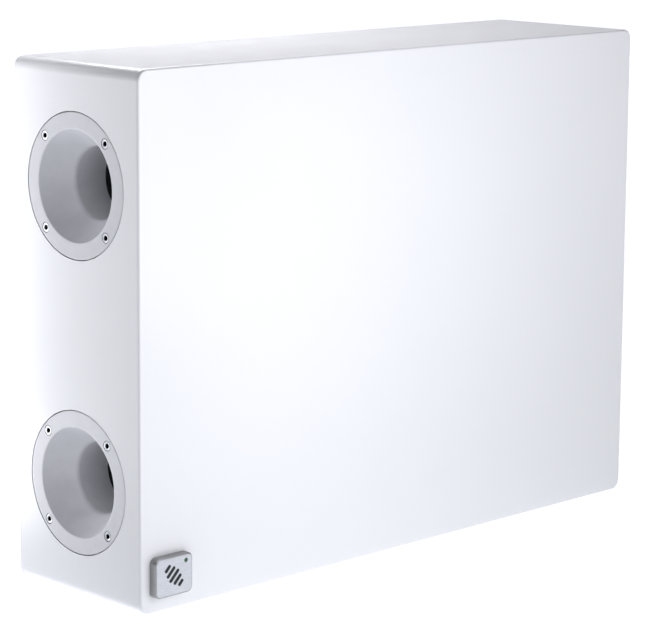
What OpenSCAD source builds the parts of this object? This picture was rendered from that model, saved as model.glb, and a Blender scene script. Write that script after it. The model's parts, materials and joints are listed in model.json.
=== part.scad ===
/* [Cabinet] */
// Width of the cabinet, across its large front face
cabinet_w = 616; // [606:1:640]
// Height of the cabinet
cabinet_h = 450; // [444:1:480]
// Depth of the cabinet, from the front face to the rear baffle
cabinet_d = 160; // [156:1:172]
// Thickness of the front, top, bottom and side boards
board_t = 16; // [15:1:18]
// Thickness of the rear baffle that carries the woofers
baffle_t = 19; // [18:1:22]
// Radius of the four edges that run from front to back
corner_r = 10; // [7:0.5:12]
// Radius of the edge around the front and rear faces
edge_r = 2; // [1.5:0.5:4]

/* [Feet] */
// Height of the rubber pads under the cabinet
pad_h = 3; // [2:0.5:4]
// Height of the rubber stand-offs on the rear baffle
standoff_h = 22.5; // [20:0.5:26]

/* [Ports] */
// Distance between the two port centres
port_pitch = 250; // [246:1:256]
// Height of the lower port's centre above the cabinet's underside
port_rise = 98.5; // [96:0.5:101]
// Diameter of the port flange
flange_d = 122; // [121:0.5:124]
// Diameter of the port's mouth, at the flange face
mouth_d = 94; // [93:0.5:95]
// Inside diameter of the port tube
throat_d = 61; // [60:0.5:62]
// Length of each port, from the flange face to the inner end
port_len = 368; // [330:1:390]

/* [Badge] */
// Width of the badge
badge_w = 40.5; // [38:0.5:42]
// Height of the badge
badge_h = 34; // [32:0.5:36]
// Distance that the badge stands off the front face
badge_t = 7.5; // [7:0.5:8]
// Gap between the badge and the cabinet's port side
badge_inset_x = 10; // [10:0.5:16]
// Gap between the badge and the cabinet's underside
badge_inset_z = 14; // [14:0.5:20]

/* [Woofers] */
// Distance between the two woofer centres
woofer_pitch = 235; // [232:1:240]
// Middle of the woofer pair, measured from the cabinet's middle
woofer_shift = -32.5; // [-36:0.5:-28]
// Diameter of the woofer's frame
woofer_d = 210; // [208:1:211]

/* [Amplifier] */
// Width of the amplifier panel's flange
amp_w = 124; // [122:1:126]
// Height of the amplifier panel's flange
amp_h = 304; // [300:1:306]
// Depth of the recess that holds the controls and sockets
amp_recess = 13; // [13:0.5:14]

/* [Hidden] */
$fn = 96;
over = 1;

// The origin is the bottom centre of the whole object's box, from the badge's
// face to the rear stand-offs. The front faces -Y and the ports face -X.
half_w = cabinet_w / 2;
front_y = badge_t - (badge_t + cabinet_d + standoff_h) / 2;
back_y = front_y + cabinet_d;
mid_y = (front_y + back_y) / 2;
bottom_z = pad_h;
top_z = bottom_z + cabinet_h;
mid_z = (bottom_z + top_z) / 2;

inner_front_y = front_y + board_t;
inner_back_y = back_y - baffle_t;
inner_half_w = half_w - board_t;
gasket_t = 1;

// Pads, stand-offs and wall inserts
pad_r = 10;
pad_inset_x = 38;
pad_spread_y = 50;
pad_stem_r = 2.5;
pad_stem_len = 8;
standoff_r = 18;
standoff_x = half_w - 46;
standoff_z = cabinet_h / 2 - 35;
standoff_seat = 10;
standoff_screw_r = 2.4;
standoff_screw_head_r = 4.6;
standoff_screw_depth = 15;
insert_x = 200;
insert_z = 170;
insert_r = 4.5;
insert_bore_r = 2.5;
insert_len = 13;

// Ports
port_heights = [bottom_z + port_rise, bottom_z + port_rise + port_pitch];
flange_t = 5;
flange_gap = 0.8;
flange_bevel = 0.5;
screw_circle_r = 54.4;
port_hole_r = mouth_d / 2 + 1.6;
port_screw_r = 2.4;
port_screw_head_r = 4.25;
port_screw_head_h = 3.2;
port_head_gap = 0.25;
port_wall = 2.5;
bowl_r = 48.7;
soft_r = 6;
throat_start = 26;
throat_len = 58;
socket_len = 12;
tube_r = throat_d / 2 + port_wall;
tube_fit = 0.05;
tube_flare_r = 16;

// Badge
badge_x = -half_w + badge_inset_x + badge_w / 2;
badge_z = bottom_z + badge_inset_z + badge_h / 2;
badge_corner_r = 5.2;
badge_bevel = 0.8;
badge_face_drop = 0.3;
badge_rim = 1.2;
badge_face_w = badge_w - 2 * badge_rim;
badge_face_h = badge_h - 2 * badge_rim;
badge_face_r = 4.1;
badge_face_t = 0.8;
badge_mark_t = 0.15;
led_off_x = badge_w / 2 - 7.5;
led_off_z = badge_h / 2 - 6;
led_x = badge_x + led_off_x;
led_z = badge_z + led_off_z;
led_r = 1.9;
led_lead_hole_r = 1.6;

// Woofers. Heights are measured outward from the baffle's outer face.
woofer_a_x = woofer_shift - woofer_pitch / 2;
woofer_b_x = woofer_shift + woofer_pitch / 2;
woofer_places = [woofer_a_x, woofer_b_x];
woofer_flange_t = 4;
woofer_gap = 0.75;
woofer_hole_r = 94;
woofer_screw_circle_r = 100;
woofer_screw_count = 6;
woofer_screw_turn = 30;
woofer_screw_r = 2.2;
cone_r = 78;
neck_r = 20.2;
neck_w = -30.5;
roll_r = 6;
roll_mid_r = 85;
landing_w = -42;
plate_w = -65;
plate_t = 6;
magnet_t = 18;
yoke_t = 6;
magnet_w = plate_w - plate_t;
yoke_w = magnet_w - magnet_t;
terminal_r = 60.4;

// Boards inside the cabinet, wadding and wiring
brace_x = woofer_shift;
brace_t = 15;
bulkhead_x = half_w - 88;
bulkhead_t = 12;
wadding_t = 16;
loom_y = back_y - 112.5;
loom_z = mid_z - 72;
brace_window_r = 42;
brace_lead_r = 4;
bulkhead_lead_r = 2.5;

// Amplifier. Positions on its panel run to the rear and up from its centre.
amp_flange_t = 3;
amp_gap = 0.6;
amp_corner_r = 6;
amp_tray_w = 105;
amp_tray_h = 285;
amp_tray_r = 8;
amp_wall = 2.5;
amp_screw_r = 1.9;
amp_floor = -amp_recess;
amp_back = amp_floor - 3;
knob_r = 9.5;
knob_y = 24;
knob_z = 112;
shaft_r = 3;
shaft_fit = 0.05;
switch_y = 24;
switch_z = 80;
jack_z = 48;
jack_places = [-30, -10, 10, 30];
jack_r = 4.15;
sink_z = -25;
mains_z = -110;
inlet_y = -22;
rocker_y = 26;
rocker_pivot = amp_floor - 2;
rocker_tilt = 11;
socket_z = 7;
drawer_z = -12.5;
board_w = amp_back - 16;

// Places a shape on one of the cabinet's faces. Its local Z points out of the
// face, its local Y points up, and its local X points right as seen from there.
module on_front(x, z) {
  translate([x, front_y, z]) rotate([90, 0, 0]) children();
}
module on_rear(x, z) {
  translate([x, back_y, z]) rotate([90, 0, 180]) children();
}
module on_port_side(z) {
  translate([-half_w, mid_y, z]) rotate([90, 0, -90]) children();
}
module on_amp_side() {
  translate([half_w, mid_y, mid_z]) rotate([90, 0, 90]) children();
}

module cyl(r, low, high) {
  translate([0, 0, low]) cylinder(r = r, h = high - low);
}

module ring(outer_r, inner_r, low, high) {
  difference() {
    cyl(outer_r, low, high);
    cyl(inner_r, low - over, high + over);
  }
}

// A box centred on the local Z axis.
module block(w, h, low, high) {
  translate([-w / 2, -h / 2, low]) cube([w, h, high - low]);
}

// A block whose four upright edges are rounded.
module round_block(w, h, r, low, high) {
  block(w - 2 * r, h, low, high);
  block(w, h - 2 * r, low, high);
  for (x = [-1, 1])
    for (y = [-1, 1])
      translate([x * (w / 2 - r), y * (h / 2 - r), 0]) cyl(r, low, high);
}

// A round block whose top edge is cut back at 45 degrees.
module bevel_block(w, h, r, low, high, bevel) {
  module prism(length, across)
    rotate([90, 0, 90])
      translate([0, 0, -length / 2])
        linear_extrude(length)
          polygon([
            [-across / 2, high - bevel], [across / 2, high - bevel],
            [across / 2 - bevel, high], [bevel - across / 2, high]
          ]);
  round_block(w, h, r, low, high - bevel);
  prism(w - 2 * r, h);
  rotate(90) prism(h - 2 * r, w);
  for (x = [-1, 1])
    for (y = [-1, 1])
      translate([x * (w / 2 - r), y * (h / 2 - r), high - bevel])
        cylinder(r1 = r, r2 = r - bevel, h = bevel);
}

module around(count, radius, start = 0) {
  for (i = [0 : count - 1])
    rotate(start + i * 360 / count) translate([radius, 0, 0]) children();
}

// Cabinet boards. The four boards of the frame carry the rounded edges. Their
// cross-section runs from the front face to the rear face.

module board_section(t) {
  for (side = [0, 1])
    mirror([side, 0]) {
      square([cabinet_d / 2 - edge_r, t]);
      square([cabinet_d / 2, t - edge_r]);
      translate([cabinet_d / 2 - edge_r, t - edge_r]) circle(edge_r);
    }
}

// A straight board with its outer face on z = 0, facing up.
module frame_board(length) {
  translate([-length / 2, 0, -board_t])
    rotate([90, 0, 90]) linear_extrude(length) board_section(board_t);
}

// A quarter-round post, its flat sides on x = 0 and z = 0.
module corner_post() {
  rotate([90, 0, 0])
    rotate_extrude(angle = 90) rotate(-90) board_section(corner_r);
}

// A side board, outer face on x = 0 facing +X, rebated for the top and bottom.
module side_board() {
  difference() {
    union() {
      rotate([0, 90, 0]) frame_board(cabinet_h - 2 * corner_r);
      for (turn = [0, 180])
        rotate([turn, 0, 0])
          translate([-corner_r, 0, cabinet_h / 2 - corner_r]) corner_post();
    }
    for (side = [0, 1])
      mirror([0, 0, side])
        translate([-board_t - over, -cabinet_d, cabinet_h / 2 - board_t])
          cube([board_t - corner_r + over, 2 * cabinet_d, board_t + over]);
  }
}

module top_panel() {
  color("white")
    translate([0, mid_y, top_z]) frame_board(cabinet_w - 2 * corner_r);
}

module bottom_panel() {
  color("white")
    difference() {
      translate([0, mid_y, bottom_z])
        rotate([180, 0, 0]) frame_board(cabinet_w - 2 * corner_r);
      at_pads() cyl(pad_stem_r + 0.1, -over, pad_stem_len);
    }
}

module port_panel() {
  color("white")
    difference() {
      translate([-half_w, mid_y, mid_z]) rotate([0, 0, 180]) side_board();
      for (z = port_heights)
        on_port_side(z) {
          cyl(flange_d / 2 + flange_gap, -flange_t - gasket_t, over);
          cyl(port_hole_r, -board_t - over, 0);
          around(4, screw_circle_r, 45) cyl(port_screw_r, -board_t - over, 0);
        }
    }
}

module amp_panel() {
  color("white")
    difference() {
      translate([half_w, mid_y, mid_z]) side_board();
      on_amp_side() {
        round_block(amp_w + 2 * amp_gap, amp_h + 2 * amp_gap, amp_corner_r + amp_gap,
                    -amp_flange_t - gasket_t, over);
        round_block(amp_tray_w + 3, amp_tray_h + 3, amp_tray_r + 1.5, -board_t - over, 0);
        at_amp_screws() cyl(amp_screw_r, -board_t - over, 0);
      }
    }
}

module front_panel() {
  color("white")
    difference() {
      translate([-inner_half_w, front_y, bottom_z + board_t])
        cube([2 * inner_half_w, board_t, cabinet_h - 2 * board_t]);
      on_front(led_x, led_z) cyl(led_lead_hole_r, -board_t - over, over);
    }
}

module rear_baffle() {
  color("white")
    difference() {
      translate([-inner_half_w, inner_back_y, bottom_z + board_t])
        cube([2 * inner_half_w, baffle_t, cabinet_h - 2 * board_t]);
      for (x = woofer_places)
        on_rear(x, mid_z) {
          cyl(woofer_d / 2 + woofer_gap, -woofer_flange_t - gasket_t, over);
          cyl(woofer_hole_r, -baffle_t - over, 0);
          around(woofer_screw_count, woofer_screw_circle_r, woofer_screw_turn)
            cyl(woofer_screw_r, -baffle_t + 2, 0);
        }
      at_standoffs() cyl(standoff_screw_r, -standoff_screw_depth, over);
      at_inserts() cyl(insert_r, -insert_len, over);
    }
}

// A board across the cabinet that ties the front to the baffle. The port tubes
// and the wiring pass through it.
module cabinet_brace() {
  color("burlywood")
    difference() {
      cross_board(brace_x, brace_t);
      for (z = port_heights) hole_across(brace_x, mid_y, z, brace_t, port_hole_r);
      hole_across(brace_x, mid_y, mid_z, brace_t, brace_window_r);
      for (z = [loom_z, led_z]) hole_across(brace_x, loom_y, z, brace_t, brace_lead_r);
    }
}

// The wall that seals the amplifier's chamber.
module amp_bulkhead() {
  color("burlywood")
    difference() {
      cross_board(bulkhead_x, bulkhead_t);
      for (z = [loom_z, led_z]) hole_across(bulkhead_x, loom_y, z, bulkhead_t, bulkhead_lead_r);
    }
}

module cross_board(x, t) {
  translate([x - t / 2, inner_front_y, bottom_z + board_t])
    cube([t, inner_back_y - inner_front_y, cabinet_h - 2 * board_t]);
}

// A round hole along X, through a board that is centred on x.
module hole_across(x, y, z, t, r) {
  translate([x - t / 2 - over, y, z]) rotate([0, 90, 0]) cylinder(r = r, h = t + 2 * over);
}

module damping_wadding() {
  low_z = bottom_z + board_t + 40;
  brace_left = brace_x - brace_t / 2;
  brace_right = brace_x + brace_t / 2;
  spans = [[-inner_half_w, brace_left], [brace_right, bulkhead_x - bulkhead_t / 2]];
  color("gainsboro")
    for (span = spans)
      translate([span[0] + 4, inner_front_y, low_z])
        cube([span[1] - span[0] - 8, wadding_t, top_z - board_t - 10 - low_z]);
}

module at_pads() {
  for (x = [-1, 1])
    for (y = [-1, 1])
      translate([x * (half_w - pad_inset_x), mid_y + y * pad_spread_y, bottom_z]) children();
}

module bottom_pads() {
  color("dimgray")
    at_pads() {
      cyl(pad_r, -pad_h, 0);
      cyl(pad_stem_r, -over, pad_stem_len);
    }
}

module at_standoffs() {
  for (x = [-1, 1])
    for (z = [-1, 1])
      on_rear(x * standoff_x, mid_z + z * standoff_z) children();
}

// A round rubber foot with a rounded rim and a pocket for its screw.
module standoff_feet() {
  rim = 4;
  color("dimgray")
    at_standoffs()
      difference() {
        rotate_extrude() {
          square([standoff_r, standoff_h - rim]);
          square([standoff_r - rim, standoff_h]);
          translate([standoff_r - rim, standoff_h - rim]) circle(rim);
        }
        cyl(standoff_screw_head_r + 0.6, standoff_seat, standoff_h + over);
        cyl(standoff_screw_r + 0.2, -over, standoff_h);
      }
}

module standoff_screws() {
  color("silver")
    at_standoffs()
      socket_screw(standoff_screw_head_r, 4.5, standoff_screw_r,
                   standoff_seat + standoff_screw_depth, standoff_seat);
}

// A cap screw whose head rests on seat, with a hexagon socket.
module socket_screw(head_r, head_h, shank_r, shank_len, seat) {
  difference() {
    union() {
      cyl(head_r, seat, seat + head_h);
      cyl(shank_r, seat - shank_len, seat + over);
    }
    translate([0, 0, seat + head_h * 0.35]) cylinder(r = head_r * 0.54, h = head_h, $fn = 6);
  }
}

module at_inserts() {
  for (x = [-1, 1])
    for (z = [-1, 1])
      on_rear(x * insert_x, mid_z + z * insert_z) children();
}

// Brass bushes for a wall bracket's bolts.
module wall_inserts() {
  color("goldenrod")
    at_inserts() ring(insert_r, insert_bore_r, -insert_len, 0);
}

// Ports

// Half of the port's section: a bowl that runs in from the mouth, a soft edge
// and a straight throat that ends in a socket for the tube.
module port_section() {
  mouth_r = mouth_d / 2;
  throat_r = throat_d / 2;
  bowl_c = sqrt(bowl_r * bowl_r - mouth_r * mouth_r);
  soft_c = [throat_r + soft_r, bowl_c - sqrt(pow(bowl_r + soft_r, 2) - pow(throat_r + soft_r, 2))];
  difference() {
    union() {
      translate([0, -flange_t]) square([flange_d / 2, flange_t - flange_bevel]);
      translate([0, -flange_t]) square([flange_d / 2 - flange_bevel, flange_t]);
      intersection() {
        translate([0, bowl_c]) circle(bowl_r + port_wall);
        translate([0, -throat_start]) square([flange_d / 2, throat_start - flange_t / 2]);
      }
      translate([0, -throat_len]) square([throat_r + port_wall + 0.5, throat_len - throat_start + 4]);
      translate([0, -throat_len - socket_len])
        square([tube_r + port_wall, socket_len + 4]);
    }
    translate([0, bowl_c]) circle(bowl_r);
    translate([-over, -port_len]) square([throat_r + over, port_len]);
    difference() {
      polygon([[0, bowl_c], soft_c, [throat_r, soft_c[1]], [0, soft_c[1]]]);
      translate(soft_c) circle(soft_r);
    }
    translate([0, -throat_len - socket_len - over]) square([tube_r + tube_fit, socket_len + over]);
  }
}

module port_flare(z) {
  color("lightgray")
    on_port_side(z)
      difference() {
        rotate_extrude() port_section();
        around(4, screw_circle_r, 45) {
          cyl(port_screw_head_r + port_head_gap, -port_screw_head_h - 0.1, over);
          cyl(port_screw_r + 0.2, -flange_t - over, 0);
        }
      }
}

// The tube's inner end opens out in a quarter round.
module port_tube(z) {
  color("dimgray")
    on_port_side(z)
      rotate_extrude() {
        translate([throat_d / 2, -port_len + tube_flare_r])
          square([tube_r - throat_d / 2, port_len - tube_flare_r - throat_len]);
        translate([throat_d / 2 + tube_flare_r, tube_flare_r - port_len])
          intersection() {
            difference() {
              circle(tube_flare_r);
              circle(tube_flare_r - tube_r + throat_d / 2);
            }
            translate([-tube_flare_r, -tube_flare_r]) square(tube_flare_r);
          }
      }
}

module port_gaskets() {
  color("dimgray")
    for (z = port_heights)
      on_port_side(z)
        difference() {
          ring(flange_d / 2, port_hole_r + 1, -flange_t - gasket_t, -flange_t);
          around(4, screw_circle_r, 45) cyl(port_screw_r + 0.2, -flange_t - gasket_t - over, 0);
        }
}

module port_screws() {
  color("silver")
    for (z = port_heights)
      on_port_side(z)
        around(4, screw_circle_r, 45)
          socket_screw(port_screw_head_r, port_screw_head_h, port_screw_r, 11, -port_screw_head_h - 0.1);
}

// Badge

module badge_plate() {
  color("dimgray")
    on_front(badge_x, badge_z)
      difference() {
        bevel_block(badge_w, badge_h, badge_corner_r, 0, badge_t - badge_face_drop, badge_bevel);
        round_block(badge_face_w, badge_face_h, badge_face_r,
                    badge_t - badge_mark_t - badge_face_t, badge_t);
        translate([led_off_x, led_off_z, 0]) cyl(led_r, -over, badge_t);
      }
}

module badge_face() {
  color("silver")
    on_front(badge_x, badge_z)
      difference() {
        round_block(badge_face_w, badge_face_h, badge_face_r,
                    badge_t - badge_mark_t - badge_face_t, badge_t - badge_mark_t);
        translate([led_off_x, led_off_z, 0]) cyl(led_r, 0, badge_t);
      }
}

// Five sound-level bars with round ends, set in a row along the diagonal.
module badge_mark() {
  bar_w = 3;
  bar_pitch = 5;
  lengths = [5, 9, 11, 8, 4];
  color("black")
    on_front(badge_x, badge_z)
      rotate(-45)
        for (i = [0 : len(lengths) - 1])
          translate([(i - (len(lengths) - 1) / 2) * bar_pitch, 0, 0])
            round_block(bar_w, lengths[i] + bar_w, bar_w / 2, badge_t - badge_mark_t, badge_t);
}

module led_lens() {
  color("seagreen")
    on_front(led_x, led_z) {
      cyl(led_r, 0.2, badge_t - badge_mark_t);
      cyl(led_lead_hole_r - 0.3, -6, 0.5);
    }
}

// Woofers

module woofer_basket(x) {
  base_r = 58;
  spoke = [
    [92, -10], [92, -17], [62, landing_w - 8], [base_r, plate_w],
    [48, plate_w], [53, landing_w - 4], [88, -14], [90, -10]
  ];
  color("dimgray")
    on_rear(x, mid_z)
      difference() {
        union() {
          ring(woofer_d / 2, 92, -woofer_flange_t, 0);
          ring(92.5, 89.5, -16, -woofer_flange_t + 1);
          for (i = [0 : 5])
            rotate(i * 60 - 9) rotate_extrude(angle = 18) polygon(spoke);
          ring(60, 50, landing_w - 4, landing_w);
          ring(base_r, 30, plate_w, plate_w + 3);
          rotate(-90) translate([55, -10, landing_w - 8]) cube([15, 20, 4]);
        }
        around(woofer_screw_count, woofer_screw_circle_r, woofer_screw_turn)
          cyl(woofer_screw_r + 0.2, -woofer_flange_t - over, over);
      }
}

// The rubber half roll between the cone and the frame.
module woofer_surround(x) {
  lip = 1;
  color("dimgray")
    on_rear(x, mid_z)
      rotate_extrude() {
        intersection() {
          translate([roll_mid_r, 0])
            difference() {
              circle(roll_r + lip / 2);
              circle(roll_r - lip / 2);
            }
          translate([cone_r, 0]) square(2 * roll_r + 2);
        }
        translate([cone_r - 4, 0]) square([5.5, lip]);
        translate([roll_mid_r + roll_r - lip / 2, 0]) square([5, lip]);
      }
}

module woofer_cone(x) {
  cone_t = 1.3;
  color("gray")
    on_rear(x, mid_z)
      rotate_extrude()
        polygon([
          [cone_r, -cone_t], [cone_r, 0], [cone_r - 3, 0],
          [neck_r, neck_w], [neck_r, neck_w - cone_t], [cone_r - 3, -cone_t]
        ]);
}

module woofer_dust_cap(x) {
  cap_r = 26;
  cap_h = 9;
  cap_t = 0.8;
  base_w = -27.1;
  dome_r = (cap_r * cap_r + cap_h * cap_h) / (2 * cap_h);
  color("dimgray")
    on_rear(x, mid_z)
      rotate_extrude()
        intersection() {
          translate([0, base_w + cap_h - dome_r])
            difference() {
              circle(dome_r);
              circle(dome_r - cap_t);
            }
          translate([0, base_w]) square([cap_r, cap_h + over]);
        }
}

// The former, with the winding around its lower end.
module woofer_voice_coil(x) {
  end_w = -76;
  color("peru")
    on_rear(x, mid_z) {
      ring(19.9, 19.4, end_w, neck_w - 0.5);
      ring(21, 19.7, end_w, end_w + 16);
    }
}

// A corrugated cloth disc that centres the coil.
module woofer_spider(x) {
  cloth_t = 0.6;
  first_r = 22;
  edge = 57;
  wave_len = 9;
  waves = 3;
  steps = 8;
  count = waves * steps;
  function crest(i) = 1.5 * (1 - cos(360 * i / steps));
  function wave(lift) = [for (i = [0 : count]) [first_r + i * wave_len / steps, landing_w + lift + crest(i)]];
  function backward(list) = [for (i = [len(list) - 1 : -1 : 0]) list[i]];
  color("khaki")
    on_rear(x, mid_z)
      rotate_extrude()
        polygon(concat(
          [[neck_r - 0.1, landing_w]], wave(0), [[edge, landing_w]],
          [[edge, landing_w + cloth_t]], backward(wave(cloth_t)), [[neck_r - 0.1, landing_w + cloth_t]]
        ));
}

module woofer_magnet(x) {
  color("dimgray")
    on_rear(x, mid_z) ring(60, 30, yoke_w, magnet_w);
}

// The rear plate and the vented pole.
module woofer_yoke(x) {
  color("silver")
    on_rear(x, mid_z)
      difference() {
        union() {
          cyl(55, yoke_w - yoke_t, yoke_w);
          cyl(18.6, yoke_w - over, plate_w + 2);
        }
        cyl(6, yoke_w - yoke_t - over, plate_w + 2 + over);
      }
}

module woofer_top_plates() {
  color("silver")
    for (x = woofer_places) on_rear(x, mid_z) ring(55, 22, magnet_w, plate_w);
}

module woofer_gaskets() {
  color("dimgray")
    for (x = woofer_places)
      on_rear(x, mid_z)
        difference() {
          ring(woofer_d / 2, 95, -woofer_flange_t - gasket_t, -woofer_flange_t);
          around(woofer_screw_count, woofer_screw_circle_r, woofer_screw_turn)
            cyl(woofer_screw_r + 0.2, -woofer_flange_t - gasket_t - over, 0);
        }
}

// A block with two blade contacts, on the lower side of each frame.
module woofer_terminals() {
  color("peru")
    for (x = woofer_places)
      on_rear(x, mid_z)
        rotate(-90) {
          translate([terminal_r, -9, landing_w - 4]) cube([8.6, 18, 4]);
          for (y = [-5, 5])
            translate([terminal_r + 8, y - 2.4, landing_w - 2.4]) cube([7, 4.8, 0.8]);
        }
}

module woofer_screws() {
  color("silver")
    for (x = woofer_places)
      on_rear(x, mid_z)
        around(woofer_screw_count, woofer_screw_circle_r, woofer_screw_turn)
          socket_screw(4, 2.6, woofer_screw_r, 14, 0);
}

// Amplifier

module at_amp_screws() {
  for (y = [-1, 1])
    for (z = [-1, -0.5, 0, 0.5, 1])
      translate([y * (amp_w / 2 - 4.7), z * (amp_h / 2 - 9), 0]) children();
}

module at_knobs() {
  for (y = [-knob_y, knob_y]) translate([y, knob_z, 0]) children();
}

module at_switches() {
  for (y = [-switch_y, switch_y]) translate([y, switch_z, 0]) children();
}

module at_jacks() {
  for (y = jack_places) translate([y, jack_z, 0]) children();
}

// A tray that sinks the controls and sockets into the side of the cabinet.
module amp_plate() {
  color("dimgray")
    on_amp_side()
      difference() {
        union() {
          round_block(amp_w, amp_h, amp_corner_r, -amp_flange_t, 0);
          round_block(amp_tray_w, amp_tray_h, amp_tray_r, amp_back, -amp_flange_t + over);
        }
        round_block(amp_tray_w - 2 * amp_wall, amp_tray_h - 2 * amp_wall, amp_tray_r - amp_wall,
                    amp_floor, over);
        at_knobs() cyl(3.6, amp_back - over, amp_floor + over);
        at_switches() block(12, 4.4, amp_back - over, amp_floor + over);
        at_jacks() cyl(4, amp_back - over, amp_floor + over);
        translate([inlet_y, mains_z, 0]) block(29.4, 37.4, amp_back - over, amp_floor + over);
        translate([rocker_y, mains_z, 0]) block(20.9, 30.4, amp_back - over, amp_floor + over);
        at_amp_screws() {
          cyl(amp_screw_r + 0.2, -amp_flange_t - over, over);
          cyl(3.7, -2.1, over);
        }
      }
}

module amp_gasket() {
  color("dimgray")
    on_amp_side()
      difference() {
        round_block(amp_w, amp_h, amp_corner_r, -amp_flange_t - gasket_t, -amp_flange_t);
        round_block(amp_tray_w + 3, amp_tray_h + 3, amp_tray_r + 1.5, -amp_flange_t - gasket_t - over, 0);
        at_amp_screws() cyl(amp_screw_r + 0.2, -amp_flange_t - gasket_t - over, 0);
      }
}

module amp_screws() {
  color("dimgray")
    on_amp_side() at_amp_screws() socket_screw(3.4, 2, amp_screw_r, 12, -2.1);
}

module heat_sink() {
  sink_w = 92;
  fins = 14;
  fin_t = 1.8;
  fin_pitch = (sink_w - fin_t) / (fins - 1);
  color("dimgray")
    on_amp_side()
      translate([0, sink_z, 0]) {
        block(sink_w, 100, amp_floor, amp_floor + 2.5);
        for (i = [0 : fins - 1])
          translate([(i - (fins - 1) / 2) * fin_pitch, 0, 0])
            block(fin_t, 100, amp_floor + 2, -2);
      }
}

module amp_board() {
  board_h = 205;
  board_z = 32;
  chips = [[-25, 95, 24, 30], [12, 100, 18, 18], [30, 70, 14, 22], [-12, 62, 16, 12], [32, 118, 12, 12]];
  color("darkgreen")
    on_amp_side() {
      translate([0, board_z, 0]) block(88, board_h, board_w, board_w + 1.6);
      for (y = [-40, 40])
        for (z = [-60, board_z, 124])
          translate([y, z, 0]) cyl(2.5, board_w + 1, amp_back);
      for (c = chips)
        translate([c[0], c[1], 0]) block(c[2], c[3], board_w - 4, board_w + 0.5);
    }
}

// A ring-core transformer with rounded edges.
module power_transformer() {
  core_r = 32;
  hole_r = 11;
  core_h = 28;
  round_r = 5;
  section = core_r - hole_r;
  color("orange")
    on_amp_side()
      translate([0, -35, board_w - core_h])
        rotate_extrude()
          translate([hole_r, 0]) {
            translate([round_r, 0]) square([section - 2 * round_r, core_h]);
            translate([0, round_r]) square([section, core_h - 2 * round_r]);
            for (x = [round_r, section - round_r])
              for (y = [round_r, core_h - round_r])
                translate([x, y]) circle(round_r);
          }
}

module amp_capacitors() {
  color("midnightblue")
    on_amp_side() {
      for (y = [-22, 22]) translate([y, 20, 0]) cyl(11, board_w - 30, board_w);
      for (y = [-38, -2, 10, 38]) translate([y, 42, 0]) cyl(5, board_w - 14, board_w);
    }
}

// The fixed parts behind the knobs, the sliders and the rocker.
module control_bodies() {
  bush_top = amp_floor + 1.4;
  color("gray")
    on_amp_side() {
      at_knobs() {
        ring(8.5, shaft_r + shaft_fit, amp_back - 10, amp_back);
        ring(3.5, shaft_r + shaft_fit, amp_back - over, bush_top);
        difference() {
          translate([0, 0, amp_floor]) cylinder(r = 5.8, h = 1.1, $fn = 6);
          cyl(3.4, amp_floor - over, bush_top + over);
        }
      }
      at_switches()
        difference() {
          block(20, 9, amp_back - 8, amp_back);
          block(12.4, 4.4, amp_back - 6, amp_back + over);
        }
      translate([rocker_y, mains_z, 0])
        difference() {
          union() {
            block(20.5, 30, amp_back - 20, amp_floor);
            block(25, 34, amp_floor, amp_floor + 1.5);
          }
          block(18, 27.6, amp_back - 18, 0);
          translate([-20, 0, rocker_pivot])
            rotate([0, 90, 0]) cylinder(r = 1.55, h = 40);
        }
    }
}

// A fluted knob with its shaft and a pointer groove that points up.
module knob(y) {
  low = amp_floor + 1.8;
  high = -1.2;
  color("dimgray")
    on_amp_side()
      translate([y, knob_z, 0])
        difference() {
          union() {
            cyl(knob_r, low, high - 1);
            translate([0, 0, high - 1]) cylinder(r1 = knob_r, r2 = knob_r - 1, h = 1);
            cyl(shaft_r, amp_back - 8, low + over);
          }
          around(20, knob_r + 0.5) cyl(0.9, low + 1, over);
          translate([0, 5.5, 0]) block(1.2, 6, high - 0.6, over);
        }
}

// A slider that stands at the end of its slot nearer the front.
module slide_tip(y, travel) {
  color("white")
    on_amp_side()
      translate([y - travel / 2, switch_z, 0]) {
        block(4, 3.8, amp_back - 5.5, amp_floor + 4);
        block(5, 3.8, amp_back - 5.5, amp_back - 2);
      }
}

// A shallow V with a pivot pin, tipped to its off position.
module mains_rocker() {
  half_v = 12.2;
  color("black")
    on_amp_side()
      translate([rocker_y, mains_z, rocker_pivot])
        rotate([rocker_tilt, 0, 0]) {
          rotate([90, 0, 90])
            translate([0, 0, -8.7])
              linear_extrude(17.4)
                polygon([[-half_v, -1.5], [half_v, -1.5], [half_v, 5.5], [0, 3], [-half_v, 5.5]]);
          rotate([0, 90, 0]) cyl(1.5, -10, 10);
        }
}

// The outline of a mains socket, with two corners cut.
module socket_outline(grow) {
  x = 12.2 + grow;
  y = 8.4 + grow;
  cut = 4;
  polygon([[-x, -y], [x, -y], [x, y - cut], [x - cut, y], [cut - x, y], [-x, y - cut]]);
}

module mains_inlet() {
  face = amp_floor + 3;
  socket_floor = face - 19;
  blades = [[-7, -2], [7, -2], [0, 2]];
  color("black")
    on_amp_side()
      translate([inlet_y, mains_z, 0]) {
        difference() {
          union() {
            block(29, 37, amp_back - 24, amp_floor);
            round_block(34, 42, 2, amp_floor, face);
          }
          translate([0, socket_z, socket_floor]) linear_extrude(40) socket_outline(0);
          translate([0, drawer_z, 0]) block(23, 7, amp_back - 20, over);
        }
        for (b = blades)
          translate([b[0], socket_z + b[1], 0]) block(2, 4, socket_floor - over, face - 6);
      }
}

// The holder of two glass fuses, which pulls straight out.
module fuse_drawer() {
  lip = amp_floor + 3;
  color("black")
    on_amp_side()
      translate([inlet_y, mains_z + drawer_z, 0])
        difference() {
          union() {
            block(22.6, 6.6, amp_back - 19, lip);
            block(25, 8, lip, lip + 1.5);
          }
          for (y = [-5.4, 5.4])
            translate([y, 1, 0]) block(5.4, 6, amp_back - 17, amp_back + 1);
          block(10, 2, lip + 0.8, lip + 3);
        }
}

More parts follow.
